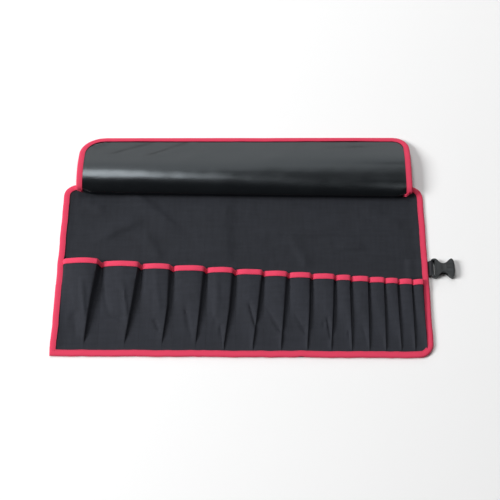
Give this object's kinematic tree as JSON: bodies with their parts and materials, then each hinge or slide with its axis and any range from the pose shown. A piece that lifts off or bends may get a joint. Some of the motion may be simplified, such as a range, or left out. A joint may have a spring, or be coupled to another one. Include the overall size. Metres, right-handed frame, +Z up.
{
  "type": "tool roll",
  "caption": "Cloth tool roll lying open, with a row of graded pockets, taped edges, a folded-back flap and a side release buckle socket on a short strap.",
  "frame": {"origin": "middle of the main panel's underside, on the surface that the open roll lies on", "axes": "+X towards the buckle, +Y towards the folded-back flap, +Z up"},
  "size_m": [0.7281, 0.4638, 0.0309],
  "materials": {
    "panel_cloth": "matt black woven polyester with a fine plain weave",
    "pocket_cloth": "matt black woven polyester with a fine plain weave",
    "coated_cloth": "smooth black waterproof coating, soft gloss",
    "edge_tape": "matt red woven tape with a ribbed face, stitched along its inner edge",
    "webbing": "black woven webbing",
    "moulded_plastic": "satin moulded black plastic"
  },
  "bodies": {
    "root": {"main_panel": "panel_cloth", "pocket_01": "pocket_cloth", "pocket_02": "pocket_cloth", "pocket_03": "pocket_cloth", "pocket_04": "pocket_cloth", "pocket_05": "pocket_cloth", "pocket_06": "pocket_cloth", "pocket_07": "pocket_cloth", "pocket_08": "pocket_cloth", "pocket_09": "pocket_cloth", "pocket_10": "pocket_cloth", "pocket_11": "pocket_cloth", "pocket_12": "pocket_cloth", "pocket_13": "pocket_cloth", "pocket_14": "pocket_cloth", "pocket_15": "pocket_cloth", "pocket_binding": "edge_tape", "edge_binding": "edge_tape", "flap_root": "coated_cloth", "flap": "coated_cloth", "flap_binding": "edge_tape", "buckle_strap": "webbing", "buckle": "moulded_plastic"}
  },
  "joints": []
}
